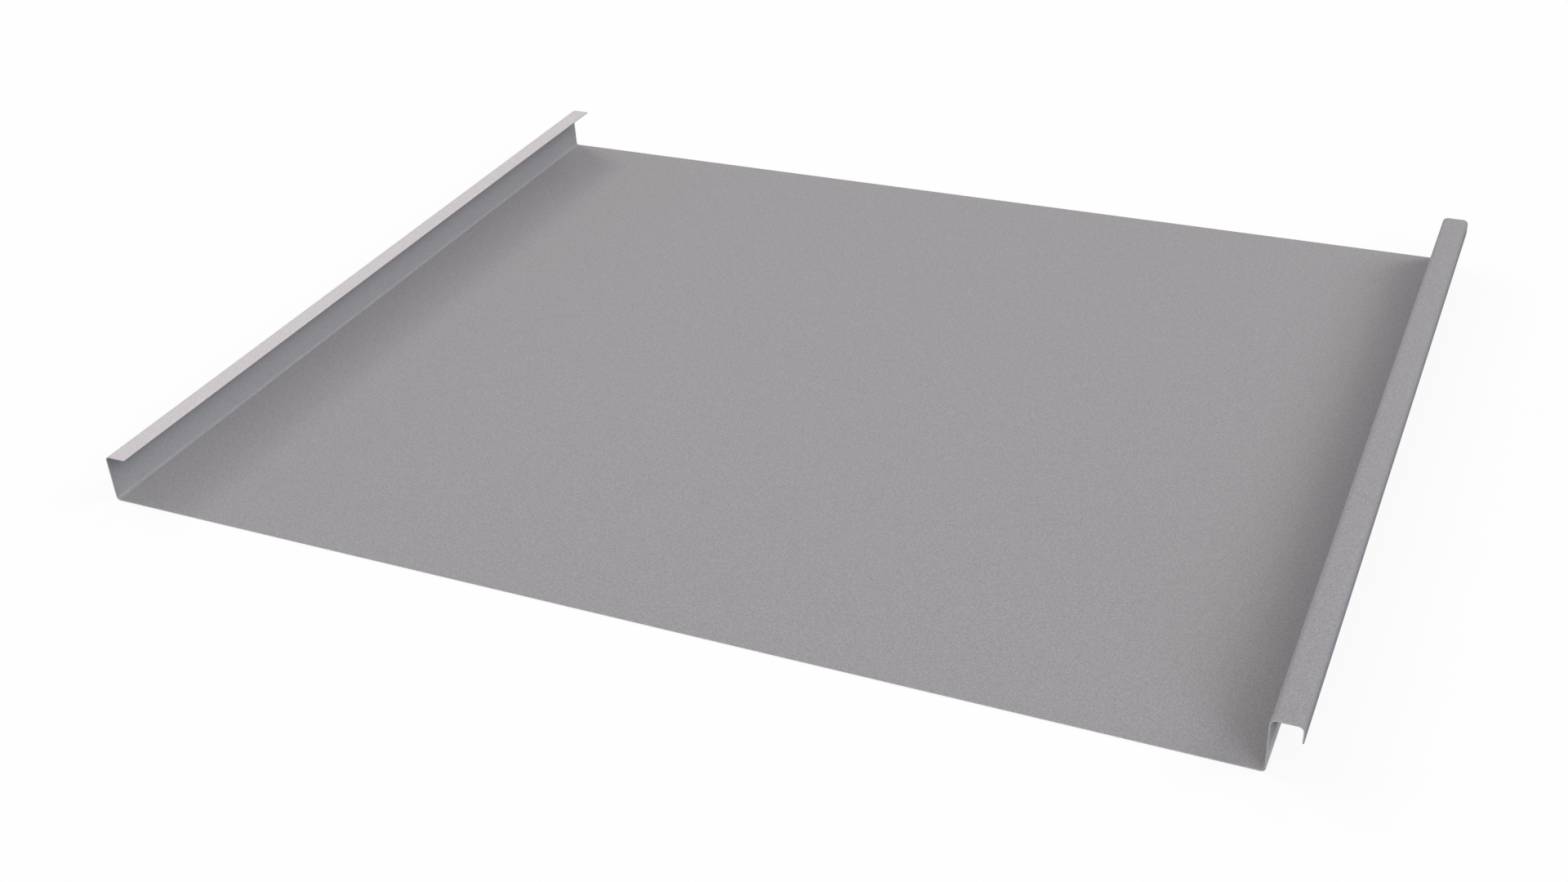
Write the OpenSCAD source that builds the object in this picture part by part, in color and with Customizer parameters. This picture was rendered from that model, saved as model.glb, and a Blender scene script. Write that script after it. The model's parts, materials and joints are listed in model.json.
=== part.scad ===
// Standing seam roof panel, one folded sheet of pre-painted steel, in millimetres.
// X runs across the pan, from the hooked left edge to the capped right edge.
// Y runs up the roof, and Z is up. The origin is the middle of the pan's underside,
// halfway between the back faces of the two upstands.
// The back face of the sheet is outside and underneath. The painted face is inside and on top.

/* [Sheet] */
// Thickness of the steel with both of its coats
sheet_t = 0.55; // [0.4:0.05:0.8]
// Radius of each bend, on the back face
bend_r = 2; // [1:0.25:3]

/* [Panel] */
// Cover width, between the back faces of the two upstands
module_w = 537.5; // [250:0.5:600]
// Length up the roof
panel_l = 440; // [200:5:6000]

/* [Seam] */
// Height of the finished seam, from the pan's underside to the top of the cover strip
seam_h = 25; // [20:0.5:50]
// Width of the cover strip, from the painted face of its upstand to the outer face of its lip
cover_w = 12.8; // [10:0.1:18]
// Height of the lip, from the top of the cover strip to its cut edge
lip_h = 7.9; // [5:0.1:12]
// Room between the cover strip and the next panel's flange under it
seam_gap_z = 0.45; // [0.2:0.05:1]
// Room between the lip and the next panel's flange beside it
seam_gap_x = 0.5; // [0.2:0.05:1]

/* [Hidden] */
$fn = 96;

// The hook that the next panel's flange goes into, measured between back faces
hook_w = cover_w - 2 * sheet_t;
hook_h = seam_h - sheet_t;
// The left edge is a little smaller than that hook, so that it nests in the panel before it
flange_w = hook_w - seam_gap_x;
flange_h = hook_h - seam_gap_z;

// A leg of the folded section, then what follows at its far end.
// The walk is along the back face, and the sheet lies to its left.
// The length is taken between sharp corners, and each bend at an end takes bend_r of it.
module leg(length, bends = 2) {
    flat = length - bends * bend_r;
    square([flat, sheet_t]);
    translate([flat, 0]) children();
}

// A quarter of a ring around the origin, from -90 to 0 degrees
module quarter_bend(outer_r) {
    intersection() {
        difference() {
            circle(r = outer_r);
            circle(r = outer_r - sheet_t);
        }
        translate([0, -outer_r]) square(outer_r);
    }
}

// A square bend towards the painted face, then what follows
module fold_in() {
    translate([0, bend_r]) quarter_bend(bend_r);
    translate([bend_r, bend_r]) rotate(90) children();
}

// A square bend towards the back face, then what follows
module fold_out() {
    translate([0, -bend_r]) mirror([0, 1, 0]) quarter_bend(bend_r + sheet_t);
    translate([bend_r, -bend_r]) rotate(-90) children();
}

// The whole section, walked from the tip of the left flange to the lip's cut edge
module section() {
    translate([flange_w - module_w / 2, flange_h]) rotate(180)
        leg(flange_w, 1) fold_in()
        leg(flange_h) fold_in()
        leg(module_w) fold_in()
        leg(hook_h) fold_out()
        leg(hook_w) fold_out()
        leg(lip_h - sheet_t, 1);
}

// The panel: its section drawn out along the roof
module roof_panel() {
    color("#9f9c9f")
        rotate([90, 0, 0])
            linear_extrude(height = panel_l, center = true) section();
}

roof_panel();
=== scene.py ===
"""Looks of the standing seam roof panel: its folded sheet, its two coats, and the studio around it."""
import json
import math

import bmesh
import bpy
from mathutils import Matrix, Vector


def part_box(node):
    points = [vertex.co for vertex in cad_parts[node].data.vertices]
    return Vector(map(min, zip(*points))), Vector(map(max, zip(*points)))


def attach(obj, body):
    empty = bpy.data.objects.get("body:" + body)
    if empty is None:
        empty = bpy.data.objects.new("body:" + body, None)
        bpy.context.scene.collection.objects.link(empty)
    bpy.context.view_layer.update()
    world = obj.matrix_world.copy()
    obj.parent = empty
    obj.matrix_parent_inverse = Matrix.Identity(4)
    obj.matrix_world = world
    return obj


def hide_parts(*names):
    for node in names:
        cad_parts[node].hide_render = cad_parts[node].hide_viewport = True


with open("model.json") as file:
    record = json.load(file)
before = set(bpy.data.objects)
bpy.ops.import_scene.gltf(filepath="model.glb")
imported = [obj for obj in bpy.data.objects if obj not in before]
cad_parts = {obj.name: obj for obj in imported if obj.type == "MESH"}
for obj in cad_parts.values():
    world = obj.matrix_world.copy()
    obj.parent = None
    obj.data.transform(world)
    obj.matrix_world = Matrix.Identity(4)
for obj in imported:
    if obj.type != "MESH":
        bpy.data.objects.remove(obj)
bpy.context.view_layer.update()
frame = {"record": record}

# Camera
# It stands off the panel's near right corner, a little above, and looks down across the pan.
# The picture leans by three degrees, as a hand-held one does.
LENS_MM = 43.51
SENSOR_MM = 36.0
CLIP_START = 0.01
CAMERA_PLACE = (0.34526, -0.76080, 0.47617)
CAMERA_TURN = (58.229, 3.039, 24.094)

bpy.ops.object.camera_add(location=CAMERA_PLACE, rotation=[math.radians(angle) for angle in CAMERA_TURN])
camera = bpy.context.object
camera.name = "camera"
camera.data.lens = LENS_MM
camera.data.sensor_width = SENSOR_MM
camera.data.clip_start = CLIP_START
bpy.context.scene.camera = camera

# Folded sheet
# One strip of steel runs through forming rolls that turn up both edges. The left one ends in a
# flange folded in over the pan, and the right one in a cover strip folded out, with a lip.
# It is modelled along its back face, and the thickness then goes on towards the painted face.
BEND_R = 0.002
BEND_STEPS = 14
ROUND_PROFILE = 0.5
FLANGE_W = 0.0112
LIP_H = 0.0079
SAME_PLACE = 1e-6

low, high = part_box("roof_panel")
mount = {entry["name"]: Vector(entry["pos_m"]) for entry in frame["record"]["mounts"]}
left_x = mount["left_upstand"].x
right_x = mount["right_upstand"].x
flange_z = mount["left_flange"].z
strip_z = mount["cover_strip"].z
sheet_t = high.z - strip_z
lip_x = high.x - sheet_t
lip_z = high.z - LIP_H


def select_edges(mesh_object, wanted):
    """Selects, in edit mode, only the edges that wanted(edge) accepts."""
    mesh = bmesh.from_edit_mesh(mesh_object.data)
    for element in [*mesh.verts, *mesh.edges, *mesh.faces]:
        element.select = False
    for edge in mesh.edges:
        if wanted(edge):
            edge.select_set(True)
    bmesh.update_edit_mesh(mesh_object.data)


def fold_up_from(mesh_object, start_x, moves):
    """Pulls new flats out of the edge that runs along the panel at start_x, one for each move."""
    select_edges(mesh_object, lambda edge: all(abs(v.co.x - start_x) < SAME_PLACE for v in edge.verts))
    for move in moves:
        bpy.ops.mesh.extrude_region_move(TRANSFORM_OT_translate={"value": move})


bpy.ops.object.select_all(action="DESELECT")
bpy.ops.mesh.primitive_plane_add(size=1, location=((left_x + right_x) / 2, (low.y + high.y) / 2, low.z))
sheet = bpy.context.object
sheet.name = "folded_sheet"
sheet.scale = (right_x - left_x, high.y - low.y, 1)
bpy.ops.object.transform_apply(location=True, rotation=True, scale=True)

bpy.ops.object.mode_set(mode="EDIT")
bpy.ops.mesh.select_mode(type="EDGE")
fold_up_from(sheet, left_x, [(0, 0, flange_z), (FLANGE_W, 0, 0)])
fold_up_from(sheet, right_x, [(0, 0, strip_z), (lip_x - right_x, 0, 0), (0, 0, lip_z - strip_z)])
select_edges(sheet, lambda edge: len(edge.link_faces) == 2)
bpy.ops.mesh.bevel(offset_type="OFFSET", offset=BEND_R, segments=BEND_STEPS,
                   profile=ROUND_PROFILE, affect="EDGES")
bpy.ops.mesh.select_all(action="SELECT")
bpy.ops.mesh.normals_make_consistent(inside=False)
pan_normal = max(bmesh.from_edit_mesh(sheet.data).faces, key=lambda face: face.calc_area()).normal
if pan_normal.z > 0:
    bpy.ops.mesh.flip_normals()
bpy.ops.object.mode_set(mode="OBJECT")

# Front coat
# Matt polyester paint, rolled on at the mill and baked before the sheet is folded. Fine beads in it
# scatter the light, so the eye sees an even mid grey with a fine grain and hardly any sheen.
# The real grain is about half a millimetre. It is drawn a little coarser so that it shows.
FRONT_HEX = "#999699"
FRONT_GRAIN_HEX = "#AEABAE"
GRAIN_MM = 0.7
MM_PER_M = 1000
GRAIN_DETAIL = 1.0
GRAIN_FADE = 0.6
GRAIN_LOW = 0.3
GRAIN_HIGH = 0.7
SHEEN_SPREAD = 0.05
COAT_LOOK = {"roughness": 0.95, "relief": 0.12, "Specular_IOR_Level": 0.05}


def linear(hex_colour):
    """The linear RGBA of an sRGB hex colour."""
    shares = [int(hex_colour[place:place + 2], 16) / 255 for place in (1, 3, 5)]
    return [s / 12.92 if s <= 0.04045 else ((s + 0.055) / 1.055) ** 2.4 for s in shares] + [1]


def add_node(tree, kind, settings=None, **inputs):
    """Adds a node. Settings are its own values. Inputs are values or the sockets to link in.

    An input is named as its socket is, with _ for a space, or by its number, as in i0.
    """
    node = tree.nodes.new(kind)
    for name, value in (settings or {}).items():
        setattr(node, name, value)
    for name, value in inputs.items():
        socket = node.inputs[int(name[1:])] if name[1:].isdigit() else node.inputs[name.replace("_", " ")]
        if isinstance(value, bpy.types.NodeSocket):
            tree.links.new(value, socket)
        else:
            socket.default_value = value
    return node


def new_material(name):
    """A node material that has no nodes yet, and its node tree."""
    material = bpy.data.materials.new(name)
    material.use_nodes = True
    material.node_tree.nodes.clear()
    return material, material.node_tree


def grained(name, low_hex, high_hex, roughness, relief, **settings):
    """A surface with a fine grain. Its high spots take the second colour and shine a little more."""
    material, tree = new_material(name)
    place = add_node(tree, "ShaderNodeTexCoord").outputs["Object"]
    grain = add_node(tree, "ShaderNodeTexNoise", Vector=place, Scale=MM_PER_M / GRAIN_MM,
                     Detail=GRAIN_DETAIL, Roughness=GRAIN_FADE)
    height = grain.outputs["Fac"]
    high_spots = add_node(tree, "ShaderNodeMapRange",
                          Value=height, From_Min=GRAIN_LOW, From_Max=GRAIN_HIGH).outputs[0]
    colour = add_node(tree, "ShaderNodeMix", {"data_type": "RGBA"},
                      i0=high_spots, i6=linear(low_hex), i7=linear(high_hex))
    dullness = add_node(tree, "ShaderNodeMapRange", Value=high_spots,
                        To_Min=roughness + SHEEN_SPREAD, To_Max=roughness - SHEEN_SPREAD)
    bump = add_node(tree, "ShaderNodeBump", Height=height, Strength=relief, Distance=GRAIN_MM / MM_PER_M)
    surface = add_node(tree, "ShaderNodeBsdfPrincipled", Base_Color=colour.outputs[2],
                       Roughness=dullness.outputs[0], Normal=bump.outputs["Normal"], **settings)
    add_node(tree, "ShaderNodeOutputMaterial", Surface=surface.outputs["BSDF"])
    return material


front_coat = grained("matt_polyester_front_coat", FRONT_HEX, FRONT_GRAIN_HEX, **COAT_LOOK)

# Back coat
# A thin backing lacquer, rolled on at the mill to protect the hidden side. The eye sees a pale,
# slightly warm grey, on top of the left flange, inside the hook of the strip and under the pan.
BACK_HEX = "#CAC4C6"
BACK_GRAIN_HEX = "#DCD6D8"
back_coat = grained("light_backing_lacquer", BACK_HEX, BACK_GRAIN_HEX, **COAT_LOOK)

# Cut edges
# The shears leave bare zinc-coated steel along both ends and both long edges of the sheet.
# The cut is torn and rough, so the eye sees a thin, dull line of metal and not a bright one.
EDGE_HEX = "#96959A"
EDGE_GRAIN_HEX = "#A8A7AC"
cut_edge = grained("sheared_zinc_coated_steel", EDGE_HEX, EDGE_GRAIN_HEX,
                   roughness=0.5, relief=0.2, Metallic=1.0)

for material in (back_coat, front_coat, cut_edge):
    sheet.data.materials.append(material)

# Thickness
# The sheet is one stock gauge all over, and its folded skin grows from the back face to the painted
# one. The back keeps the first coat, the new skin takes the second, and the rim between them is the
# bare cut edge, with its burr eased a little.
BURR_R = 0.00005
BURR_STEPS = 2
SHARP_ANGLE = 60
SMOOTH_ANGLE = 30

thickness = sheet.modifiers.new("thickness", "SOLIDIFY")
thickness.thickness = sheet_t
thickness.offset = -1
thickness.use_even_offset = True
thickness.material_offset = 1
thickness.material_offset_rim = 2
bpy.ops.object.modifier_apply(modifier=thickness.name)

burr = sheet.modifiers.new("eased cut edges", "BEVEL")
burr.width = BURR_R
burr.segments = BURR_STEPS
burr.limit_method = "ANGLE"
burr.angle_limit = math.radians(SHARP_ANGLE)
bpy.ops.object.modifier_apply(modifier=burr.name)
bpy.ops.object.shade_smooth_by_angle(angle=math.radians(SMOOTH_ANGLE))

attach(sheet, "root")
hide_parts("roof_panel")

# Floor
# A plain floor, a hair below the sheet. The camera sees it as white paper with a share of the
# panel's soft shadow left in, and so do gloss and glass. It throws no light back on the panel.
FLOOR_SIZE = 12.0
FLOOR_DROP = 0.0002
SHADOW_SHARE = 0.12
WHITE = linear("#FFFFFF")

bpy.ops.mesh.primitive_plane_add(size=FLOOR_SIZE, location=(0, 0, low.z - FLOOR_DROP))
floor = bpy.context.object
floor.name = "floor"


def background_ray(tree):
    """1 for a ray that shows the background, from the camera, a gloss or a glass, or else 0."""
    rays = add_node(tree, "ShaderNodeLightPath").outputs
    mirrored = add_node(tree, "ShaderNodeMath", {"operation": "MAXIMUM"},
                        i0=rays["Is Glossy Ray"], i1=rays["Is Transmission Ray"])
    seen = add_node(tree, "ShaderNodeMath", {"operation": "MAXIMUM"},
                    i0=rays["Is Camera Ray"], i1=mirrored.outputs[0])
    return seen.outputs[0]


floor_paint, tree = new_material("white_floor")
shaded = add_node(tree, "ShaderNodeBsdfDiffuse", Color=WHITE)
glow = add_node(tree, "ShaderNodeEmission", Color=WHITE, Strength=1.0)
shown = add_node(tree, "ShaderNodeMixShader", i0=SHADOW_SHARE, i1=glow.outputs[0], i2=shaded.outputs[0])
no_bounce = add_node(tree, "ShaderNodeMixShader", i0=background_ray(tree), i2=shown.outputs[0])
add_node(tree, "ShaderNodeOutputMaterial", Surface=no_bounce.outputs[0])
floor.data.materials.append(floor_paint)

# Studio light
# An even white room, and eight soft boxes so far away that they light the open pan all over alike.
# Each has its azimuth, elevation and width in degrees, its colour and its strength, and a wide one
# throws a soft shadow.
ROOM_HEX = "#F9F5FF"
ROOM_STRENGTH = 0.234
SOFT_BOXES = [
    ("left_soft_box", 150, 32, 15, "#FFFCF6", 0.582),
    ("left_high_box", 165, 45, 40, "#FFF7F2", 0.437),
    ("left_floor_box", 180, 10, 25, "#E7F9FF", 0.685),
    ("near_floor_box", -90, 10, 25, "#FDFFEB", 0.537),
    ("right_floor_box", -45, 15, 30, "#DCF0FF", 0.796),
    ("right_high_box", -45, 45, 40, "#FFF4EF", 0.569),
    ("right_soft_box", 30, 35, 35, "#FCFFFB", 1.163),
    ("far_soft_box", 90, 35, 40, "#F6FFFB", 0.450),
]

for name, azimuth, elevation, width, colour, strength in SOFT_BOXES:
    # A lamp shines straight down until it is turned.
    turn = (math.radians(90 - elevation), 0, math.radians(90 + azimuth))
    bpy.ops.object.light_add(type="SUN", rotation=turn)
    lamp = bpy.context.object
    lamp.name = name
    lamp.data.angle = math.radians(width)
    lamp.data.color = linear(colour)[:3]
    lamp.data.energy = strength

world = bpy.data.worlds.new("white_studio")
bpy.context.scene.world = world
world.use_nodes = True
tree = world.node_tree
tree.nodes.clear()
room = add_node(tree, "ShaderNodeBackground", Color=linear(ROOM_HEX), Strength=ROOM_STRENGTH)
backdrop = add_node(tree, "ShaderNodeBackground", Color=WHITE, Strength=1.0)
surroundings = add_node(tree, "ShaderNodeMixShader",
                        i0=background_ray(tree), i1=room.outputs[0], i2=backdrop.outputs[0])
add_node(tree, "ShaderNodeOutputWorld", Surface=surroundings.outputs[0])

bpy.context.scene.view_settings.view_transform = "Standard"
